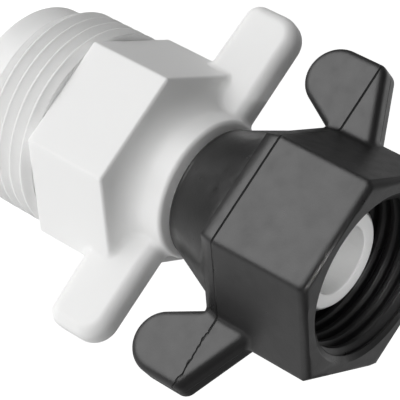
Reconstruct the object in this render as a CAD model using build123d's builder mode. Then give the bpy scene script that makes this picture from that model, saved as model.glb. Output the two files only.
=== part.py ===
"""Hose reducer: a moulded adaptor body that carries a captive swivel wing nut.

Lengths are in millimetres and angles in degrees.
+Z is the long axis and z = 0 is the rim of the male pipe end.
The wings of the body and those of the nut at rest lie along X.
"""
import os
from math import acos, atan2, ceil, degrees, hypot, radians, sqrt, tan

from build123d import *

# Both hexagons share one size
hex_across_flats = 25.0
hex_corner_radius = hex_across_flats / sqrt(3)

# Both pipe threads: 14 turns per inch, right-hand, flanks at 55 degrees to each other
thread_pitch = 25.4 / 14
thread_half_angle = 27.5
thread_root_flat = 0.2
thread_overcut = 0.15

# Male pipe end of the body: thread crests stand on a plain pilot
male_crest_radius = 13.3
male_thread_depth = 1.25
male_pilot_drop = 1.3
male_wall = 4.5
male_root_radius = male_crest_radius - male_thread_depth
male_pilot_radius = male_crest_radius - male_pilot_drop
male_bore_radius = male_crest_radius - male_wall
male_pilot_length = 4.0
male_pilot_round = 0.8
male_lead_in = 1.0
male_length = 13.2
male_thread_behind = 0.97
male_thread_heading = 180
male_bore_depth = 20.0
male_bore_chamfer = 0.6

# Hexagon of the body
body_hex_length = 12.2
body_hex_front = male_length + body_hex_length
body_hex_round = 0.4

# Collar in front of the hexagon, with a hollow sweep at its root
collar_share = 0.364
collar_radius = collar_share * hex_across_flats
collar_land = 0.1
collar_round = 0.5
collar_sweep = hex_across_flats / 2 - body_hex_round - collar_land - collar_radius

# Wings of the body; their front edge stands past the sweep and just behind the collar's rim
body_wing_reach = 23.25
body_wing_thickness = 4.0
body_wing_behind = 4.2
body_wing_rise = 0.6
body_wing_past_sweep = 1.8
collar_past_wing = 0.8
body_wing_ahead = collar_sweep + body_wing_past_sweep
collar_front = body_hex_front + body_wing_ahead + collar_past_wing
body_wing_back_round = 2.0
body_wing_front_round = 3.2
body_wing_edge_round = 1.5
body_wing_root_round = 1.0
wing_root_x = 6.0

# Gap between collar and nut, and the play of the swivel
nut_gap = 0.5
swivel_clearance = 0.07
seat_clearance = 0.3

# Tail: a journal, a snap flange that holds the nut, then the sealing nose
tail_radius = 7.05
tail_end = 51.0
tail_bore_radius = 4.4
bore_taper_length = 6.0
flange_radius = 8.0
flange_width = 1.0
nose_radius = 6.6
nose_start = 46.5
nose_chamfer = 0.5

# Swivel nut, outside
nut_start = collar_front + nut_gap
nut_end = 56.0
nut_lip_radius = 8.4
nut_lip_round = 0.8
neck_step = 0.6
band_start = 40.6
band_width = 2.0
band_taper = 12.7
nut_hex_start = band_start + band_width
nut_hex_length = nut_end - nut_hex_start
nut_corner_round = 0.7
nut_front_chamfer = 0.7

# Swivel nut, inside
shoulder_z = 42.8
shoulder_relief_width = 1.2
shoulder_relief_depth = 0.05
nut_thread_crest_radius = 9.65
nut_root_radius = 10.6
nut_thread_ahead = 0.85
nut_thread_heading = 288
nut_mouth_radius = 10.8
nut_mouth_depth = 0.9

# Wings of the nut
nut_wing_thickness = 4.1
nut_wing_reach = 22.8
nut_wing_lobe_share = 0.475
nut_wing_lobe_z = 37.9
nut_wing_front_slope = 0.46
nut_wing_corner_round = 1.5
nut_wing_front_root_z = 48.5
nut_wing_back_root_z = 44.1
nut_wing_sink = 3.4
nut_wing_edge_round = 0.9
nut_wing_root_round = 0.8

# Fits that follow from the sizes above
nut_hole_radius = tail_radius + swivel_clearance
flange_back = shoulder_z + seat_clearance
relief_end = shoulder_z + shoulder_relief_width
shoulder_relief_radius = nut_root_radius + shoulder_relief_depth
neck_end_radius = hex_across_flats / 2 - neck_step

# Each nut wing ends in a round lobe, a share of what stands out beyond the hexagon
lobe_radius = nut_wing_lobe_share * (nut_wing_reach - hex_corner_radius)
lobe_x = nut_wing_reach - lobe_radius
nut_wing_root_x = hex_corner_radius - nut_wing_sink
wing_corner_z = nut_wing_front_root_z - nut_wing_front_slope * (nut_wing_reach - nut_wing_root_x)
root_dx = nut_wing_root_x - lobe_x
root_dz = nut_wing_back_root_z - nut_wing_lobe_z
lobe_tangent = degrees(atan2(root_dz, root_dx) + acos(lobe_radius / hypot(root_dx, root_dz)))

# Where the middle of each thread groove starts, and how many turns take it out of its end
male_thread_start = male_pilot_length - male_thread_behind
male_turns = round((male_length + 0.4 * thread_pitch - male_thread_start) / thread_pitch)
nut_thread_start = shoulder_z + nut_thread_ahead
nut_turns = ceil((nut_end - nut_thread_start) / thread_pitch)

# Half width of each groove at its root and where its section ends, just past the crests
root_half = thread_root_flat / 2
male_open_radius = male_crest_radius + thread_overcut
male_open_half = root_half + (male_open_radius - male_root_radius) * tan(radians(thread_half_angle))
nut_open_radius = nut_thread_crest_radius - thread_overcut
nut_open_half = root_half + (nut_root_radius - nut_open_radius) * tan(radians(thread_half_angle))

with BuildPart() as male_groove:
    # One turn of the groove between the crests of the male thread
    with BuildLine() as male_helix:
        Helix(pitch=thread_pitch, height=thread_pitch, radius=male_root_radius)
    with BuildSketch(Plane.XZ):
        with BuildLine():
            Polyline(
                (male_root_radius, -root_half),
                (male_root_radius, root_half),
                (male_open_radius, male_open_half),
                (male_open_radius, -male_open_half),
                close=True,
            )
        make_face()
    sweep(path=male_helix.wire(), is_frenet=True)

with BuildPart() as male_end:
    # Male pipe end: plain pilot, lead-in and the cylinder of the thread crests
    with BuildSketch(Plane.XZ):
        with BuildLine():
            Polyline(
                (0, 0),
                (male_pilot_radius, 0),
                (male_pilot_radius, male_pilot_length),
                (male_crest_radius, male_pilot_length + male_lead_in),
                (male_crest_radius, male_length),
                (0, male_length),
                close=True,
            )
        make_face()
    revolve(axis=Axis.Z)
    fillet(male_end.edges().group_by(Axis.Z)[0], radius=male_pilot_round)

    # The thread, cut turn by turn until it runs out at the end of the male part
    for turn in range(male_turns):
        with Locations(Location((0, 0, male_thread_start + turn * thread_pitch), (0, 0, male_thread_heading))):
            add(male_groove.part, mode=Mode.SUBTRACT)

with BuildPart() as nut_groove:
    # One turn of the groove between the crests of the nut's thread
    with BuildLine() as nut_helix:
        Helix(pitch=thread_pitch, height=thread_pitch, radius=nut_root_radius)
    with BuildSketch(Plane.XZ):
        with BuildLine():
            Polyline(
                (nut_root_radius, root_half),
                (nut_root_radius, -root_half),
                (nut_open_radius, -nut_open_half),
                (nut_open_radius, nut_open_half),
                close=True,
            )
        make_face()
    sweep(path=nut_helix.wire(), is_frenet=True)

with BuildPart() as body:
    # Hexagon, softened along every edge
    with BuildSketch(Plane.XY.offset(male_length)):
        RegularPolygon(hex_corner_radius, 6)
    extrude(amount=body_hex_length)
    fillet(body.edges(), radius=body_hex_round)

    # Collar with its hollow sweep up from the hexagon
    sweep_edge = collar_radius + collar_sweep
    with BuildSketch(Plane.XZ):
        with BuildLine():
            Polyline((0, male_length + 1), (sweep_edge, male_length + 1), (sweep_edge, body_hex_front))
            RadiusArc(
                (sweep_edge, body_hex_front),
                (collar_radius, body_hex_front + collar_sweep),
                collar_sweep,
            )
            Line((collar_radius, body_hex_front + collar_sweep), (collar_radius, collar_front - collar_round))
            RadiusArc(
                (collar_radius, collar_front - collar_round),
                (collar_radius - collar_round, collar_front),
                -collar_round,
            )
            Polyline((collar_radius - collar_round, collar_front), (0, collar_front), (0, male_length + 1))
        make_face()
    revolve(axis=Axis.Z)

    # Two flat wings that run out from opposite corners of the hexagon
    back_z = body_hex_front - body_wing_behind
    front_z = body_hex_front + body_wing_ahead
    with BuildSketch(Plane.XZ) as body_wing:
        with BuildLine():
            Polyline(
                (wing_root_x, back_z),
                (body_wing_reach, back_z + body_wing_rise),
                (body_wing_reach, front_z),
                (wing_root_x, front_z),
                close=True,
            )
        make_face()
        tip = body_wing.vertices().group_by(Axis.X)[-1]
        fillet(tip.sort_by(Axis.Y)[-1], radius=body_wing_front_round)
        tip = body_wing.vertices().group_by(Axis.X)[-1]
        fillet(tip.sort_by(Axis.Y)[0], radius=body_wing_back_round)
        mirror(about=Plane.YZ)
    extrude(amount=body_wing_thickness / 2, both=True)

    # Wing outlines rounded over, then the hollow roots on hexagon and collar
    half_wing = body_wing_thickness / 2
    outline = body.edges().filter_by(
        lambda e: abs(abs(e.center().Y) - half_wing) < 0.01
        and (abs(e.center().X) > hex_corner_radius or abs(e.center().Z - front_z) < 0.01)
    )
    fillet(outline, radius=body_wing_edge_round)
    roots = body.edges().filter_by(
        lambda e: abs(abs(e.center().Y) - half_wing) < 0.6
        and collar_radius - 0.5 < abs(e.center().X) < hex_corner_radius - 1.5
        and e.center().Z > body_hex_front - 0.01
    )
    fillet(roots, radius=body_wing_root_round)

    # The threaded male end stands on the back of the hexagon
    add(male_end.part)

    # Tail: journal, snap flange with a lead-in cone, sealing nose
    with BuildSketch(Plane.XZ):
        with BuildLine():
            Polyline(
                (0, collar_front - 1),
                (tail_radius, collar_front - 1),
                (tail_radius, flange_back),
                (flange_radius, flange_back),
                (flange_radius, flange_back + flange_width),
                (nose_radius, nose_start),
                (nose_radius, tail_end - nose_chamfer),
                (nose_radius - nose_chamfer, tail_end),
                (0, tail_end),
                close=True,
            )
        make_face()
    revolve(axis=Axis.Z)

    # Waterway: wide in the male end, tapering to the bore of the tail
    with BuildSketch(Plane.XZ):
        with BuildLine():
            Polyline(
                (0, 0),
                (male_bore_radius + male_bore_chamfer, 0),
                (male_bore_radius, male_bore_chamfer),
                (male_bore_radius, male_bore_depth),
                (tail_bore_radius, male_bore_depth + bore_taper_length),
                (tail_bore_radius, tail_end),
                (0, tail_end),
                close=True,
            )
        make_face()
    revolve(axis=Axis.Z, mode=Mode.SUBTRACT)

with BuildPart() as swivel_nut:
    # Hexagon with soft corners and a bevelled front edge
    with BuildSketch(Plane.XY.offset(nut_hex_start)) as nut_hex:
        RegularPolygon(hex_corner_radius, 6)
        fillet(nut_hex.vertices(), radius=nut_corner_round)
    extrude(amount=nut_hex_length)
    chamfer(swivel_nut.edges().group_by(Axis.Z)[-1], length=nut_front_chamfer)

    # Narrow band behind it, drawn in towards the neck
    extrude(swivel_nut.faces().sort_by(Axis.Z)[0], amount=band_width, taper=band_taper)

    # Conical neck with a rolled lip
    with BuildSketch(Plane.XZ):
        with BuildLine():
            Polyline((0, nut_start), (nut_lip_radius - nut_lip_round, nut_start))
            RadiusArc(
                (nut_lip_radius - nut_lip_round, nut_start),
                (nut_lip_radius, nut_start + nut_lip_round),
                -nut_lip_round,
            )
            Polyline(
                (nut_lip_radius, nut_start + nut_lip_round),
                (neck_end_radius, band_start),
                (neck_end_radius, nut_hex_start + 1),
                (0, nut_hex_start + 1),
                (0, nut_start),
            )
        make_face()
    revolve(axis=Axis.Z)

    # Two wings: a round lobe behind, a slanted edge in front
    with BuildSketch(Plane.XZ) as nut_wing:
        with BuildLine():
            lobe = CenterArc((lobe_x, nut_wing_lobe_z), lobe_radius, 0, lobe_tangent - 360)
            Polyline(
                lobe @ 1,
                (nut_wing_root_x, nut_wing_back_root_z),
                (nut_wing_root_x, nut_wing_front_root_z),
                (nut_wing_reach, wing_corner_z),
                lobe @ 0,
            )
        make_face()
        tip = nut_wing.vertices().group_by(Axis.X)[-1]
        fillet(tip.sort_by(Axis.Y)[-1], radius=nut_wing_corner_round)
        mirror(about=Plane.YZ)
    extrude(amount=nut_wing_thickness / 2, both=True)

    # Wing outlines rounded over, then the roots where the flats of the wings meet the nut
    half_nut_wing = nut_wing_thickness / 2
    outline = swivel_nut.edges().filter_by(
        lambda e: abs(abs(e.center().Y) - half_nut_wing) < 0.01 and abs(e.center().X) > hex_corner_radius
    )
    fillet(outline, radius=nut_wing_edge_round)
    roots = swivel_nut.edges().filter_by(
        lambda e: abs(abs(e.center().Y) - half_nut_wing) < 0.6
        and hex_corner_radius - 1.6 < abs(e.center().X) < hex_corner_radius - 0.9
        and e.center().Z > band_start
    )
    fillet(roots, radius=nut_wing_root_round)

    # Inside: swivel hole, seat relief, the bore of the thread crests and the flared mouth
    with BuildSketch(Plane.XZ):
        with BuildLine():
            Polyline(
                (0, nut_start),
                (nut_hole_radius, nut_start),
                (nut_hole_radius, shoulder_z),
                (shoulder_relief_radius, shoulder_z),
                (shoulder_relief_radius, relief_end),
                (nut_thread_crest_radius, relief_end),
                (nut_thread_crest_radius, nut_end - nut_mouth_depth),
                (nut_mouth_radius, nut_end),
                (0, nut_end),
                close=True,
            )
        make_face()
    revolve(axis=Axis.Z, mode=Mode.SUBTRACT)

    # The thread, cut turn by turn from the relief out through the mouth
    for turn in range(nut_turns):
        with Locations(Location((0, 0, nut_thread_start + turn * thread_pitch), (0, 0, nut_thread_heading))):
            add(nut_groove.part, mode=Mode.SUBTRACT)

os.makedirs("parts", exist_ok=True)
body.part.label = "body"
export_step(body.part, "parts/body.step")
swivel_nut.part.label = "swivel_nut"
export_step(swivel_nut.part, "parts/swivel_nut.step")
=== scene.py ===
# %% [markdown]
# # Hose reducer, white body and black swivel wing nut
#
# A reducer joins a wide threaded pipe to a narrower one. The white piece is one moulding:
# male thread, hexagon, two wings, collar, and a tail that ends in a sealing nose. The black
# piece is a wing nut that was snapped over the tail and turns on it. Both pieces come out
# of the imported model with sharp-edged threads. This script rounds the crests of the threads,
# gives both pieces their moulded skin and lights them as in the photograph.

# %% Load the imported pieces
from math import cos, pi, radians

import bmesh
import bpy
from mathutils import Matrix, Vector


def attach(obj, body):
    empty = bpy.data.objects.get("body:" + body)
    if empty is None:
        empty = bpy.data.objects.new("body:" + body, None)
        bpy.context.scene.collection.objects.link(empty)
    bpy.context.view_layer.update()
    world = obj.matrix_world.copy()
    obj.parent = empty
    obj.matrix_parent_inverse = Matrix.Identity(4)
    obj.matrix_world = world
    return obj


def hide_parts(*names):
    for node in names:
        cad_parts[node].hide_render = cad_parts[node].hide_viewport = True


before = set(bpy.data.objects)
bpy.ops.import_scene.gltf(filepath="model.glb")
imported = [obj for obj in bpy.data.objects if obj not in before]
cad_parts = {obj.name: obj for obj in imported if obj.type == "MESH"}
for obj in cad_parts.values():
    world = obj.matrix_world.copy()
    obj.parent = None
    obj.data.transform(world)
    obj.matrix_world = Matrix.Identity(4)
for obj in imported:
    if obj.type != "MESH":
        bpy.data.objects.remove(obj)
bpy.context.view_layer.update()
MM = 0.001


# %% [markdown]
# ## The moulded skin
#
# Both pieces are injection moulded and have the same kind of skin: a very fine grain left
# by the tool, and a sheen that varies a little where the plastic met the steel at different
# temperatures. One node group makes this for both plastics, so that they look like work of
# one maker. Each plastic keeps its own shader, so that its colour and sheen are set in one
# place. The grain could also be an image, but noise has no seams and needs no unwrapping.

# %% Helpers for node trees
def add_node(tree, kind, **settings):
    """One node of a tree, with its settings given by name."""
    node = tree.nodes.new(kind)
    for name, value in settings.items():
        setattr(node, name, value)
    return node


def calculate(tree, operation, *values):
    """A math node on sockets or plain numbers; returns its output."""
    node = add_node(tree, "ShaderNodeMath", operation=operation)
    for place, value in enumerate(values):
        if isinstance(value, (int, float)):
            node.inputs[place].default_value = value
        else:
            tree.links.new(value, node.inputs[place])
    return node.outputs[0]


def shader_group(name, inputs, outputs):
    """An empty shader node group with named inputs and outputs."""
    group = bpy.data.node_groups.new(name, "ShaderNodeTree")
    for label, kind, start in inputs:
        socket = group.interface.new_socket(label, in_out="INPUT", socket_type=kind)
        if start is not None:
            socket.default_value = start
    for label, kind in outputs:
        group.interface.new_socket(label, in_out="OUTPUT", socket_type=kind)
    return group, add_node(group, "NodeGroupInput"), add_node(group, "NodeGroupOutput")


# %% Fine moulded grain, shared by both plastics
GRAIN_RELIEF = 0.05 * MM
SHEEN_PATCHES_PER_METRE = 520.0


def moulded_grain():
    """Group that gives a fine bumped normal and a slow drift of sheen."""
    group, given, result = shader_group(
        "moulded_grain",
        [("Normal", "NodeSocketVector", None), ("Grain Scale", "NodeSocketFloat", 9000.0),
         ("Grain Height", "NodeSocketFloat", 0.05), ("Sheen Drift", "NodeSocketFloat", 0.05)],
        [("Normal", "NodeSocketVector"), ("Sheen", "NodeSocketFloat")],
    )
    link = group.links.new
    where = add_node(group, "ShaderNodeTexCoord")
    grain = add_node(group, "ShaderNodeTexNoise")
    grain.inputs["Detail"].default_value = 2.0
    link(where.outputs["Object"], grain.inputs["Vector"])
    link(given.outputs["Grain Scale"], grain.inputs["Scale"])
    bump = add_node(group, "ShaderNodeBump")
    bump.inputs["Distance"].default_value = GRAIN_RELIEF
    link(grain.outputs["Fac"], bump.inputs["Height"])
    link(given.outputs["Grain Height"], bump.inputs["Strength"])
    link(given.outputs["Normal"], bump.inputs["Normal"])
    link(bump.outputs["Normal"], result.inputs["Normal"])
    slow = add_node(group, "ShaderNodeTexNoise")
    slow.inputs["Scale"].default_value = SHEEN_PATCHES_PER_METRE
    slow.inputs["Detail"].default_value = 4.0
    link(where.outputs["Object"], slow.inputs["Vector"])
    centred = calculate(group, "SUBTRACT", slow.outputs["Fac"], 0.5)
    link(calculate(group, "MULTIPLY", centred, given.outputs["Sheen Drift"]), result.inputs["Sheen"])
    return group


grain_group = moulded_grain()
print("grain group", [socket.name for socket in grain_group.interface.items_tree])

# %% [markdown]
# ## White and black plastic
#
# The white is a satin plastic that lets a little light in, which softens its shaded edges,
# so it gets some subsurface scattering. The black lets none in, and its grain is coarser.
# The shader sits in each material itself, with its plain numbers on its own sockets. Only
# what changes over the surface, such as the sheen, comes from a group.

# %% Two plastics with the shared grain
def plastic(name, colour, roughness, specular, grain_scale, grain_height, drift, depth):
    """A moulded plastic with the shared grain; returns it with its skin and shader nodes."""
    material = bpy.data.materials.new(name)
    material.use_nodes = True
    tree = material.node_tree
    shader = tree.nodes["Principled BSDF"]
    shader.inputs["Base Color"].default_value = (*colour, 1)
    shader.inputs["IOR"].default_value = 1.49
    shader.inputs["Specular IOR Level"].default_value = specular
    shader.inputs["Subsurface Weight"].default_value = depth
    shader.inputs["Subsurface Radius"].default_value = (1.0, 1.0, 1.0)
    shader.inputs["Subsurface Scale"].default_value = 1.5 * MM
    skin = add_node(tree, "ShaderNodeGroup", node_tree=grain_group)
    skin.inputs["Grain Scale"].default_value = grain_scale
    skin.inputs["Grain Height"].default_value = grain_height
    skin.inputs["Sheen Drift"].default_value = drift
    rough = calculate(tree, "ADD", skin.outputs["Sheen"], roughness)
    tree.links.new(rough, shader.inputs["Roughness"])
    return material, skin, shader


white_plastic, white_skin, white_shader = plastic(
    "white_plastic", colour=(0.86, 0.86, 0.855), roughness=0.42, specular=0.75,
    grain_scale=9000.0, grain_height=0.05, drift=0.06, depth=0.3,
)
black_plastic, black_skin, black_shader = plastic(
    "black_plastic", colour=(0.0145, 0.0141, 0.0145), roughness=0.34, specular=0.90,
    grain_scale=3200.0, grain_height=0.25, drift=0.32, depth=0.0,
)
print("plastics", white_plastic.name, black_plastic.name)

# %% [markdown]
# ## Soft edges
#
# The edges of a moulding are never knife sharp. The larger roundings are in the model. The
# smallest could be modelled too, but a bevel node rounds just the shading and needs no new
# faces. It takes one radius near the axis and another further out. On the nut the edges of
# the flats are rounder than those of the thread inside. On the body the outer edges, with
# the crests of the thread among them, are a little crisper than the rims near the axis.

# %% Soft edges, shared by both plastics
OUTER_FROM = 12.2 * MM
# Two flats differ by 60 degrees, so the middle of their edge is turned by 30 from each
TURN_AT_AN_EDGE = 1 - cos(radians(30))


def soft_edges():
    """Group that rounds the shading of the edges and marks the outer ones."""
    group, given, result = shader_group(
        "soft_edges",
        [("Axis Distance", "NodeSocketFloat", 0.0), ("Inner Radius", "NodeSocketFloat", 0.2 * MM),
         ("Outer Radius", "NodeSocketFloat", 0.2 * MM)],
        [("Normal", "NodeSocketVector"), ("Edge", "NodeSocketFloat")],
    )
    link = group.links.new
    inner = given.outputs["Inner Radius"]
    outer = calculate(group, "GREATER_THAN", given.outputs["Axis Distance"], OUTER_FROM)
    more = calculate(group, "SUBTRACT", given.outputs["Outer Radius"], inner)
    more = calculate(group, "MULTIPLY", outer, more)
    bevel = add_node(group, "ShaderNodeBevel", samples=6)
    link(calculate(group, "ADD", inner, more), bevel.inputs["Radius"])
    link(bevel.outputs["Normal"], result.inputs["Normal"])
    turned = add_node(group, "ShaderNodeVectorMath", operation="DOT_PRODUCT")
    link(bevel.outputs["Normal"], turned.inputs[0])
    link(add_node(group, "ShaderNodeNewGeometry").outputs["Normal"], turned.inputs[1])
    edge = add_node(group, "ShaderNodeMapRange")
    link(calculate(group, "SUBTRACT", 1.0, turned.outputs["Value"]), edge.inputs["Value"])
    edge.inputs["From Max"].default_value = TURN_AT_AN_EDGE
    link(calculate(group, "MULTIPLY", edge.outputs["Result"], outer), result.inputs["Edge"])
    return group


edge_group = soft_edges()
print("edge group", [socket.name for socket in edge_group.interface.items_tree])

# %% Soften both plastics
def place_coordinates(tree):
    """X, Y and Z on the part, and the distance from its long axis."""
    split = add_node(tree, "ShaderNodeSeparateXYZ")
    tree.links.new(add_node(tree, "ShaderNodeTexCoord").outputs["Object"], split.inputs[0])
    x, y, z = split.outputs
    x_squared = calculate(tree, "MULTIPLY", x, x)
    y_squared = calculate(tree, "MULTIPLY", y, y)
    return x, y, z, calculate(tree, "SQRT", calculate(tree, "ADD", x_squared, y_squared))


def soften(tree, skin, distance, inner, outer):
    """Puts the soft edges under the grain of a plastic; returns the mark of its outer edges."""
    soft = add_node(tree, "ShaderNodeGroup", node_tree=edge_group)
    soft.inputs["Inner Radius"].default_value = inner
    soft.inputs["Outer Radius"].default_value = outer
    tree.links.new(distance, soft.inputs["Axis Distance"])
    tree.links.new(soft.outputs["Normal"], skin.inputs["Normal"])
    return soft.outputs["Edge"]


white = white_plastic.node_tree
white_x, white_y, _, white_distance = place_coordinates(white)
soften(white, white_skin, white_distance, inner=0.3 * MM, outer=0.2 * MM)
black = black_plastic.node_tree
black_x, black_y, black_z, black_distance = place_coordinates(black)
# The mark of the nut's outer edges is kept for the painted shade on them further down.
shaded_edges = soften(black, black_skin, black_distance, inner=0.15 * MM, outer=0.9 * MM)
print("softened", len(white.nodes), "and", len(black.nodes), "nodes")

# %% [markdown]
# ## Mould lines
#
# Where two halves of a mould meet, the plastic keeps a thin raised or sunken line. The white
# body has one along the middle of its wing edges. The nut has one there too, and a second
# one right round, where the band behind its hexagon ends: the half of the mould that forms
# the wings' lobes stops there. A node group marks such a line from one coordinate, a little
# unsteady as the real ones are. Both plastics use the mark for their relief, and the black
# one also gets painted shade along its band line, which darkens the colour in the groove.

# %% Mould lines, shared by both plastics
WAVES_PER_METRE = 900.0


def mould_line():
    """Group that marks a thin line where a coordinate crosses a level."""
    group, given, result = shader_group(
        "mould_line",
        [("Coordinate", "NodeSocketFloat", 0.0), ("Level", "NodeSocketFloat", 0.0),
         ("Half Width", "NodeSocketFloat", 0.1 * MM), ("Waver", "NodeSocketFloat", 0.04 * MM)],
        [("Line", "NodeSocketFloat")],
    )
    link = group.links.new
    noise = add_node(group, "ShaderNodeTexNoise")
    noise.inputs["Scale"].default_value = WAVES_PER_METRE
    noise.inputs["Detail"].default_value = 1.0
    link(add_node(group, "ShaderNodeTexCoord").outputs["Object"], noise.inputs["Vector"])
    centred = calculate(group, "SUBTRACT", noise.outputs["Fac"], 0.5)
    wander = calculate(group, "MULTIPLY", centred, given.outputs["Waver"])
    off = calculate(group, "SUBTRACT", given.outputs["Coordinate"], given.outputs["Level"])
    off = calculate(group, "ABSOLUTE", calculate(group, "ADD", off, wander))
    share = calculate(group, "DIVIDE", off, given.outputs["Half Width"])
    near = calculate(group, "SUBTRACT", 1.0, share)
    link(calculate(group, "MAXIMUM", near, 0.0), result.inputs["Line"])
    return group


line_group = mould_line()
print("line group", [socket.name for socket in line_group.interface.items_tree])

# %% Lines along the wings of both pieces
WINGS_FROM = 14.6 * MM
WING_LINE_HALF_WIDTH = 0.12 * MM
WHITE_LINES_RISE = 0.03 * MM


def line_mark(tree, coordinate, level, half_width, beyond, start, waver=None):
    """Mark of one mould line, kept only where another coordinate is beyond a start."""
    mark = add_node(tree, "ShaderNodeGroup", node_tree=line_group)
    mark.inputs["Level"].default_value = level
    mark.inputs["Half Width"].default_value = half_width
    tree.links.new(coordinate, mark.inputs["Coordinate"])
    if waver is not None:
        tree.links.new(waver, mark.inputs["Waver"])
    kept = calculate(tree, "GREATER_THAN", beyond, start)
    return calculate(tree, "MULTIPLY", mark.outputs["Line"], kept)


def raise_lines(tree, skin, shader, mark, height):
    """Adds the marked lines to the relief of the skin and gives both to the shader."""
    relief = add_node(tree, "ShaderNodeBump")
    relief.inputs["Distance"].default_value = height
    tree.links.new(mark, relief.inputs["Height"])
    tree.links.new(skin.outputs["Normal"], relief.inputs["Normal"])
    tree.links.new(relief.outputs["Normal"], shader.inputs["Normal"])


white_side = calculate(white, "ABSOLUTE", white_x)
white_wings = line_mark(white, white_y, 0.0, WING_LINE_HALF_WIDTH, white_side, WINGS_FROM)
raise_lines(white, white_skin, white_shader, white_wings, WHITE_LINES_RISE)
black_side = calculate(black, "ABSOLUTE", black_x)
black_wings = line_mark(black, black_y, 0.0, WING_LINE_HALF_WIDTH, black_side, WINGS_FROM)
print("wing lines start", round(WINGS_FROM / MM, 1), "mm from the axis")

# %% [markdown]
# The lines of the nut are sunken. The one round its band wavers little, but along one wing
# it is ragged, where some plastic crept between the halves of the mould. The waver of the
# group is an input for that reason, and it gets a larger value on that wing.

# %% Line round the band of the nut
BAND_LINE_HEIGHT = 42.6 * MM
BAND_LINE_FROM = 11.0 * MM
BAND_LINE_HALF_WIDTH = 0.16 * MM
BLACK_LINES_RISE = -0.10 * MM
STEADY_WAVER = 0.04 * MM
RAGGED_WAVER = 1.0 * MM
RAGGED_FROM = 15.0 * MM

ragged = calculate(black, "GREATER_THAN", black_x, RAGGED_FROM)
waver = calculate(black, "ADD", calculate(black, "MULTIPLY", ragged, RAGGED_WAVER), STEADY_WAVER)
band_line = line_mark(
    black, black_z, BAND_LINE_HEIGHT, BAND_LINE_HALF_WIDTH, black_distance, BAND_LINE_FROM, waver
)
both_lines = calculate(black, "MAXIMUM", band_line, black_wings)
raise_lines(black, black_skin, black_shader, both_lines, BLACK_LINES_RISE)
print("band line", round(BAND_LINE_HEIGHT / MM, 1), "mm above the rim of the male end")

# %% [markdown]
# ## Painted shade on the nut
#
# The round edges between the flats of the nut turn away from the soft light, and its neck
# lies in shade behind the hexagon. Both should be a deeper black than the lamps here make
# them. Darker lamps would change the flats too, so that shade is painted: a mask takes colour
# away on the neck and the edges, and along the sunken band line as painted shade in its groove.

# %% Painted shade on the neck, edges and band line of the nut
NECK_DARK_WITHIN = 10.5 * MM
NECK_FADED_BY = 12.3 * MM
NECK_BELOW = 42.0 * MM
NECK_SHADE_SHARE = 0.9
COLOUR_TAKEN = 0.85

# Painted shade on the neck: full within the inner radius and below the band, gone by the outer
# radius.
neck = add_node(black, "ShaderNodeMapRange", interpolation_type="SMOOTHSTEP")
black.links.new(black_distance, neck.inputs["Value"])
neck.inputs["From Min"].default_value = NECK_DARK_WITHIN
neck.inputs["From Max"].default_value = NECK_FADED_BY
neck.inputs["To Min"].default_value = NECK_SHADE_SHARE
neck.inputs["To Max"].default_value = 0.0
below = calculate(black, "LESS_THAN", black_z, NECK_BELOW)
painted_shade = calculate(black, "MULTIPLY", neck.outputs["Result"], below)
painted_shade = calculate(black, "MAXIMUM", painted_shade, shaded_edges)
# Painted shade in the sunken groove of the band line.
painted_shade = calculate(black, "MAXIMUM", painted_shade, band_line)

# The mix paints this shade into the base colour of the black plastic.
shade = add_node(black, "ShaderNodeMix", data_type="RGBA")
shade.inputs["A"].default_value = black_shader.inputs["Base Color"].default_value
shade.inputs["B"].default_value = (0, 0, 0, 1)
black.links.new(calculate(black, "MULTIPLY", painted_shade, COLOUR_TAKEN), shade.inputs["Factor"])
black.links.new(shade.outputs["Result"], black_shader.inputs["Base Color"])
print("black plastic", len(black.nodes), "nodes")

# %% [markdown]
# ## The tool that cuts a thread
#
# A thread is one groove that winds round an axis. On the real pieces it is left by the
# mould: a split shell for the outside thread and a turning core for the inside one. Here a
# node tree winds the solid shape of that groove. Its section is widest at the crests, with
# a narrow flat at the root and shoulders that flare a little, so that the crests come out
# rounded and catch a thin line of light. The same tree serves both threads: on the outside
# one the root radius is smaller than the crest radius, and inside the nut it is larger.

# %% Section and sizes of the groove
# Each corner: share of the depth from root to crest, and share of half the opening
GROOVE_SECTION = [
    (0.0, -0.16), (0.0, 0.16), (0.06, 0.215), (0.88, 0.86),
    (0.97, 0.935), (1.03, 1.0), (1.3, 1.03), (1.3, -1.03),
    (1.03, -1.0), (0.97, -0.935), (0.88, -0.86), (0.06, -0.215),
]
PITCH = 25.4 / 14 * MM


def groove_inputs(tree):
    """Gives the tree its named inputs and its output; returns the input sockets."""
    sizes = [
        ("Root Radius", "NodeSocketFloat", 12.0 * MM),
        ("Crest Radius", "NodeSocketFloat", 13.3 * MM),
        ("Pitch", "NodeSocketFloat", PITCH),
        ("Opening", "NodeSocketFloat", 0.92),
        ("Height At Zero", "NodeSocketFloat", 0.0),
        ("First Turn", "NodeSocketFloat", 0.0),
        ("Turns", "NodeSocketFloat", 5.0),
        ("Lowest", "NodeSocketFloat", -1.0),
        ("Highest", "NodeSocketFloat", 1.0),
        ("Steps", "NodeSocketInt", 600),
        ("Material", "NodeSocketMaterial", None),
    ]
    tree.interface.new_socket("Geometry", in_out="INPUT", socket_type="NodeSocketGeometry")
    for name, kind, start in sizes:
        socket = tree.interface.new_socket(name, in_out="INPUT", socket_type=kind)
        if start is not None:
            socket.default_value = start
    tree.interface.new_socket("Geometry", in_out="OUTPUT", socket_type="NodeSocketGeometry")
    return add_node(tree, "NodeGroupInput").outputs


groove = bpy.data.node_groups.new("helical_groove", "GeometryNodeTree")
given = groove_inputs(groove)
print("groove inputs", [socket.name for socket in given if socket.name])

# %% [markdown]
# The tree sweeps a ring along a straight line, and only their counts matter: the line has
# as many points as the groove has steps, and the ring as many corners as the section. Then
# each point is put in its true place on the helix. A sweep along a curved path could tilt
# the section, and this way can't.

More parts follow.
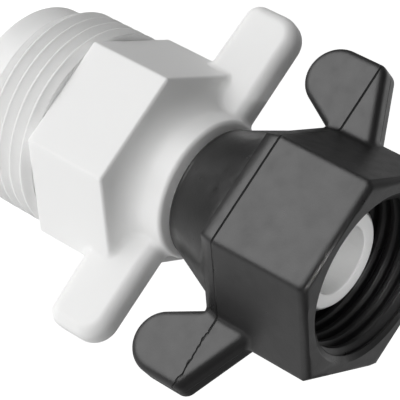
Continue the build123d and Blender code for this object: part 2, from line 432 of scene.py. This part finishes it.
# %% Sweep a ring along a straight line
def counted_sweep(tree, given):
    """Sweeps the ring along the line; returns the mesh, the share along and the corner."""
    link = tree.links.new
    path = add_node(tree, "GeometryNodeCurvePrimitiveLine")
    path.inputs["End"].default_value = (0, 0, 1)
    steps = add_node(tree, "GeometryNodeResampleCurve")
    link(path.outputs["Curve"], steps.inputs["Curve"])
    link(given["Steps"], steps.inputs["Count"])
    along = add_node(tree, "GeometryNodeCaptureAttribute", domain="POINT")
    along.capture_items.new("FLOAT", "share")
    link(steps.outputs["Curve"], along.inputs["Geometry"])
    link(add_node(tree, "GeometryNodeSplineParameter").outputs["Factor"], along.inputs["share"])

    ring = add_node(tree, "GeometryNodeCurvePrimitiveCircle")
    ring.inputs["Resolution"].default_value = len(GROOVE_SECTION)
    ring.inputs["Radius"].default_value = 0.1
    corner = add_node(tree, "GeometryNodeCaptureAttribute", domain="POINT")
    corner.capture_items.new("INT", "corner")
    link(ring.outputs["Curve"], corner.inputs["Geometry"])
    link(add_node(tree, "GeometryNodeInputIndex").outputs[0], corner.inputs["corner"])

    sweep = add_node(tree, "GeometryNodeCurveToMesh")
    sweep.inputs["Fill Caps"].default_value = True
    link(along.outputs["Geometry"], sweep.inputs["Curve"])
    link(corner.outputs["Geometry"], sweep.inputs["Profile Curve"])
    return sweep.outputs["Mesh"], along.outputs["share"], corner.outputs["corner"]


swept, share, corner = counted_sweep(groove, given)
print("swept ring", len(groove.nodes), "nodes")

# %% Put each point in its place on the helix
def section_column(tree, corner, column):
    """Looks up one column of the section for each corner of the ring."""
    switch = add_node(tree, "GeometryNodeIndexSwitch", data_type="FLOAT")
    while len(switch.index_switch_items) < len(GROOVE_SECTION):
        switch.index_switch_items.new()
    tree.links.new(corner, switch.inputs["Index"])
    for place, row in enumerate(GROOVE_SECTION):
        switch.inputs[place + 1].default_value = row[column]
    return switch.outputs[0]


def helix_place(tree, given, share, corner):
    """True place of each point on the helix, between the lowest and the highest level."""
    depth = section_column(tree, corner, 0)
    half_width = section_column(tree, corner, 1)
    turn = calculate(tree, "MULTIPLY", share, given["Turns"])
    turn = calculate(tree, "ADD", given["First Turn"], turn)
    angle = calculate(tree, "MULTIPLY", turn, 2 * pi)
    reach = calculate(tree, "SUBTRACT", given["Crest Radius"], given["Root Radius"])
    radius = calculate(tree, "ADD", given["Root Radius"], calculate(tree, "MULTIPLY", depth, reach))
    climb = calculate(tree, "MULTIPLY", turn, given["Pitch"])
    middle = calculate(tree, "ADD", given["Height At Zero"], climb)
    half_pitch = calculate(tree, "MULTIPLY", given["Pitch"], 0.5)
    half_opening = calculate(tree, "MULTIPLY", given["Opening"], half_pitch)
    height = calculate(tree, "ADD", middle, calculate(tree, "MULTIPLY", half_width, half_opening))
    height = calculate(tree, "MAXIMUM", height, given["Lowest"])
    height = calculate(tree, "MINIMUM", height, given["Highest"])

    place = add_node(tree, "ShaderNodeCombineXYZ")
    link = tree.links.new
    link(calculate(tree, "MULTIPLY", radius, calculate(tree, "COSINE", angle)), place.inputs["X"])
    link(calculate(tree, "MULTIPLY", radius, calculate(tree, "SINE", angle)), place.inputs["Y"])
    link(height, place.inputs["Z"])
    return place.outputs[0]


place = helix_place(groove, given, share, corner)
print("helix", len(groove.nodes), "nodes")

# %% Close the groove and give it a material
link = groove.links.new
wind = add_node(groove, "GeometryNodeSetPosition")
link(swept, wind.inputs["Geometry"])
link(place, wind.inputs["Position"])
close = add_node(groove, "GeometryNodeMergeByDistance")
close.inputs["Distance"].default_value = 0.001 * MM
link(wind.outputs["Geometry"], close.inputs["Geometry"])
real = add_node(groove, "GeometryNodeRealizeInstances")
link(close.outputs["Geometry"], real.inputs["Geometry"])
dressed = add_node(groove, "GeometryNodeSetMaterial")
link(real.outputs["Geometry"], dressed.inputs["Geometry"])
link(given["Material"], dressed.inputs["Material"])
link(dressed.outputs["Geometry"], add_node(groove, "NodeGroupOutput").inputs["Geometry"])
print("groove tree", len(groove.nodes), "nodes")

# %% [markdown]
# ## Wind both grooves
#
# The pitch is that of a pipe thread with fourteen turns to the inch, on both pieces. The
# groove of the male end starts below the lead-in and winds up until it dies against the
# back of the hexagon, as it does in the photograph. The groove of the nut starts at the
# relief in front of the shoulder and leaves through the mouth. Each groove lies over the one
# that the model has already. It is a hair deeper and a little wider, so that the cut clears
# the old faces and what changes most are the crests. A cut needs closed shapes, so the open
# edges are counted.

# %% Groove of the male end and groove of the nut
MALE_GROOVE_TOP = 13.21 * MM
NUT_GROOVE_BOTTOM = 42.85 * MM


def clean_mesh(mesh):
    """Merges doubled corners, turns every face outward and counts the open edges."""
    shape = bmesh.new()
    shape.from_mesh(mesh)
    bmesh.ops.remove_doubles(shape, verts=shape.verts, dist=0.0001 * MM)
    bmesh.ops.recalc_face_normals(shape, faces=shape.faces)
    open_edges = sum(1 for edge in shape.edges if not edge.is_manifold)
    shape.to_mesh(mesh)
    shape.free()
    return open_edges


def wind_groove(name, **sizes):
    """A plain closed mesh of one groove; sizes are given by the tree's input names."""
    blank = bpy.data.objects.new(name, bpy.data.meshes.new(name))
    bpy.context.collection.objects.link(blank)
    modifier = blank.modifiers.new("wind", "NODES")
    modifier.node_group = groove
    sockets = {s.name: s.identifier for s in groove.interface.items_tree if s.in_out == "INPUT"}
    for input_name, value in sizes.items():
        modifier[sockets[input_name.replace("_", " ").title()]] = value
    wound = blank.evaluated_get(bpy.context.evaluated_depsgraph_get())
    mesh = bpy.data.meshes.new_from_object(wound)
    blank.modifiers.clear()
    blank.data = mesh
    open_edges = clean_mesh(mesh)
    print(name, "faces", len(mesh.polygons), "open edges", open_edges)
    return blank


male_groove = wind_groove(
    "male_groove", root_radius=12.03 * MM, crest_radius=13.3 * MM, pitch=PITCH, opening=0.92,
    height_at_zero=0.3086 * MM, first_turn=1.5, turns=5.67, highest=MALE_GROOVE_TOP, steps=816,
    material=white_plastic,
)
nut_groove = wind_groove(
    "nut_groove", root_radius=10.62 * MM, crest_radius=9.65 * MM, pitch=PITCH, opening=0.76,
    height_at_zero=0.470 * MM, first_turn=23.79, turns=7.36, lowest=NUT_GROOVE_BOTTOM, steps=1090,
    material=black_plastic,
)

# %% [markdown]
# ## Cut the threads and shade them
#
# Each finished piece is a copy of an imported one with its groove cut out. The copy is merged
# first, so that it is a closed shape too. Faces that meet at a small angle are shaded as one
# round surface, and the others keep a sharp edge between them. Weighted normals keep the
# flats of the hexagons flat next to the narrow faces of the threads.

# %% Cut both pieces
SHARP_FROM = radians(20)


def apply_modifier(piece):
    """Turns the result of the piece's modifier into its plain mesh."""
    shaped = piece.evaluated_get(bpy.context.evaluated_depsgraph_get())
    mesh = bpy.data.meshes.new_from_object(shaped)
    piece.modifiers.clear()
    piece.data = mesh


def give_material(mesh, material):
    """Makes a mesh of one material."""
    mesh.materials.clear()
    mesh.materials.append(material)
    for face in mesh.polygons:
        face.material_index = 0


def threaded(node, cutter, material):
    """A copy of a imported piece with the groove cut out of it, and smooth where it is round."""
    piece = bpy.data.objects.new(node + "_threaded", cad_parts[node].data.copy())
    bpy.context.collection.objects.link(piece)
    clean_mesh(piece.data)
    cut = piece.modifiers.new("cut", "BOOLEAN")
    cut.operation = "DIFFERENCE"
    cut.solver = "EXACT"
    cut.object = cutter
    apply_modifier(piece)
    open_edges = clean_mesh(piece.data)
    give_material(piece.data, material)
    piece.data.shade_smooth()
    piece.data.set_sharp_from_angle(angle=SHARP_FROM)
    even = piece.modifiers.new("even", "WEIGHTED_NORMAL")
    even.keep_sharp = True
    apply_modifier(piece)
    bpy.data.objects.remove(cutter)
    print(piece.name, "faces", len(piece.data.polygons), "open edges", open_edges)
    return piece


body = threaded("body", male_groove, white_plastic)
nut = threaded("swivel_nut", nut_groove, black_plastic)

# %% [markdown]
# ## Attach both pieces to the frame
#
# The white body stays still and the nut turns on its tail, so each finished piece rides on
# the body of the frame that moves as it does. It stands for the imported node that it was
# copied from and keeps that node's material slot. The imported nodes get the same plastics.

# %% Ride, replace and slot
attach(body, "reducer_body")
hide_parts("body")
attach(nut, "nut")
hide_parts("swivel_nut")
for name, material in (("body", white_plastic), ("swivel_nut", black_plastic)):
    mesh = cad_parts[name].data
    mesh.materials.clear()
    mesh.materials.append(material)
print("attached", body.name, nut.name)

# %% [markdown]
# ## Floor
#
# The photograph is a product shot on pure white. A strong lamp on a white floor would wash
# out the part, so the floor glows almost white by itself. Its matt share still takes a
# shadow. The part gets no light from it and doesn't mirror it, so that only the surroundings
# and the lamps set the light.

# %% White floor
REACH = 2.0
floor_mesh = bpy.data.meshes.new("floor")
corners = [(-REACH, -REACH, 0), (REACH, -REACH, 0), (REACH, REACH, 0), (-REACH, REACH, 0)]
floor_mesh.from_pydata(corners, [], [(0, 1, 2, 3)])
floor = bpy.data.objects.new("floor", floor_mesh)
bpy.context.collection.objects.link(floor)
paper = bpy.data.materials.new("white_paper")
paper.use_nodes = True
paper_shader = paper.node_tree.nodes["Principled BSDF"]
paper_shader.inputs["Base Color"].default_value = (0.9, 0.9, 0.9, 1)
paper_shader.inputs["Roughness"].default_value = 0.9
paper_shader.inputs["Specular IOR Level"].default_value = 0.1
paper_shader.inputs["Emission Color"].default_value = (1, 1, 1, 1)
paper_shader.inputs["Emission Strength"].default_value = 0.9
floor_mesh.materials.append(paper)
floor.visible_diffuse = False
floor.visible_glossy = False

scene = bpy.context.scene
scene.view_settings.view_transform = "Standard"
print("floor", 2 * REACH, "m wide, view", scene.view_settings.view_transform)

# %% [markdown]
# ## Surroundings
#
# A product photographer puts a large soft source on one side and dark cards on the other.
# Here the surroundings do the same. For matt light they pass slowly from bright on one side
# to black on the other, which sets how light each flat of the white hexagon comes out. For
# mirror light they are almost dark, with a bright diffuser low on the side of the camera, a
# weaker card on one side and a backdrop behind. The flats of the nut that mirror the diffuser
# turn grey while the others stay black. The camera itself sees plain white.

# %% Matt light, mirror light and white background
BRIGHT_SIDE = Vector((0.39, -0.42, -0.82)).normalized()
BRIGHT_LEVEL = 1.88
BLACK_FROM = -0.62
# Mirrored sources: direction, cosines from it at which it starts and is full, and level
DIFFUSER = (Vector((-0.14, -0.835, -0.53)).normalized(), 0.80, 0.92, 2.0)
BACKDROP = (Vector((-0.50, 0.84, 0.10)).normalized(), 0.72, 0.96, 0.55)
CARD = (Vector((0.79, 0.30, -0.53)).normalized(), 0.62, 0.90, 0.36)
MIRROR_SHARE = 0.06
MIRROR_FLOOR = 0.12

world = bpy.data.worlds.new("studio")
scene.world = world
world.use_nodes = True
sky = world.node_tree
outward = add_node(sky, "ShaderNodeTexCoord").outputs["Generated"]


def side_level(axis, start, end, level, blend="SMOOTHSTEP"):
    """Rises from nothing to the level as a ray turns towards the axis."""
    toward = add_node(sky, "ShaderNodeVectorMath", operation="DOT_PRODUCT")
    sky.links.new(outward, toward.inputs[0])
    toward.inputs[1].default_value = axis
    rise = add_node(sky, "ShaderNodeMapRange", interpolation_type=blend)
    sky.links.new(toward.outputs["Value"], rise.inputs["Value"])
    for name, value in (("From Min", start), ("From Max", end), ("To Min", 0.0), ("To Max", level)):
        rise.inputs[name].default_value = value
    return rise.outputs["Result"]


def choose(switch, off, on):
    """Off or on value, by a switch of 0 or 1."""
    change = calculate(sky, "MULTIPLY", switch, calculate(sky, "SUBTRACT", on, off))
    return calculate(sky, "ADD", off, change)


matt = side_level(BRIGHT_SIDE, BLACK_FROM, 1.0, BRIGHT_LEVEL, "LINEAR")
mirror = calculate(sky, "ADD", calculate(sky, "MULTIPLY", matt, MIRROR_SHARE), MIRROR_FLOOR)
for source in (DIFFUSER, BACKDROP, CARD):
    mirror = calculate(sky, "ADD", mirror, side_level(*source))
ray = add_node(sky, "ShaderNodeLightPath").outputs
plain = calculate(sky, "MAXIMUM", ray["Is Camera Ray"], ray["Is Transmission Ray"])
level = choose(plain, choose(ray["Is Glossy Ray"], matt, mirror), 1.0)
sky.links.new(level, sky.nodes["Background"].inputs["Strength"])
sky.nodes["Background"].inputs["Color"].default_value = (1, 1, 1, 1)
print("surroundings", len(sky.nodes), "nodes")

# %% [markdown]
# ## Lamps
#
# Two small lamps help the surroundings. A soft square one adds a little light from the
# camera's left. It isn't mirrored, so that it leaves no glint on the black nut. A narrow spot
# shines through the mouth of the nut on the sealing nose and the bore around it, because
# little of the other light gets in there.

# %% Key lamp and spot through the mouth
MIDDLE = Vector((0, 0, 0.028))
MOUTH = Vector((0, 0, 0.053))


def hang_lamp(data, place, target):
    """Hangs a lamp at a place and turns it to a target."""
    made = bpy.data.objects.new(data.name, data)
    made.location = place
    made.rotation_euler = (target - place).to_track_quat("-Z", "Y").to_euler()
    bpy.context.collection.objects.link(made)
    return made


key_light = bpy.data.lights.new("key", "AREA")
key_light.size = 0.25
key_light.energy = 0.25
key = hang_lamp(key_light, Vector((0.30, -0.50, 0.10)), MIDDLE)
key.visible_glossy = False

spot_light = bpy.data.lights.new("mouth_spot", "SPOT")
spot_light.energy = 5.5
spot_light.spot_size = radians(2.7)
spot_light.spot_blend = 0.3
spot_light.shadow_soft_size = 0.01
mouth_spot = hang_lamp(spot_light, MOUTH + Vector((0.04, -0.17, 0.36)), MOUTH)
print("lamps", key.name, mouth_spot.name)

# %% [markdown]
# ## Camera
#
# The place, the axes and the lens come from a fit of the part's edges to the photograph. They
# could be set by eye, but a fit weighs all the edges at once. The camera stands close, so
# that the far end of the part looks a little smaller than the near one.

# %% Camera at the photograph's angle
CAMERA_PLACE = (0.040371, -0.234179, 0.179612)
CAMERA_RIGHT = Vector((-0.5449809, 0.3845642, 0.7450545))
CAMERA_UP = Vector((-0.8269660, -0.3930982, -0.4019963))

camera_data = bpy.data.cameras.new("camera")
camera_data.sensor_width = 36.0
camera_data.lens = 210.14
camera_data.clip_start = 0.01
camera = bpy.data.objects.new("camera", camera_data)
back = CAMERA_RIGHT.cross(CAMERA_UP).normalized()
axes = Matrix((CAMERA_RIGHT, CAMERA_UP, back)).transposed().to_4x4()
camera.matrix_world = Matrix.Translation(CAMERA_PLACE) @ axes
bpy.context.collection.objects.link(camera)
scene.camera = camera
distance = (Vector(CAMERA_PLACE) - MIDDLE).length
print("camera", round(distance, 3), "m from the middle of the part")
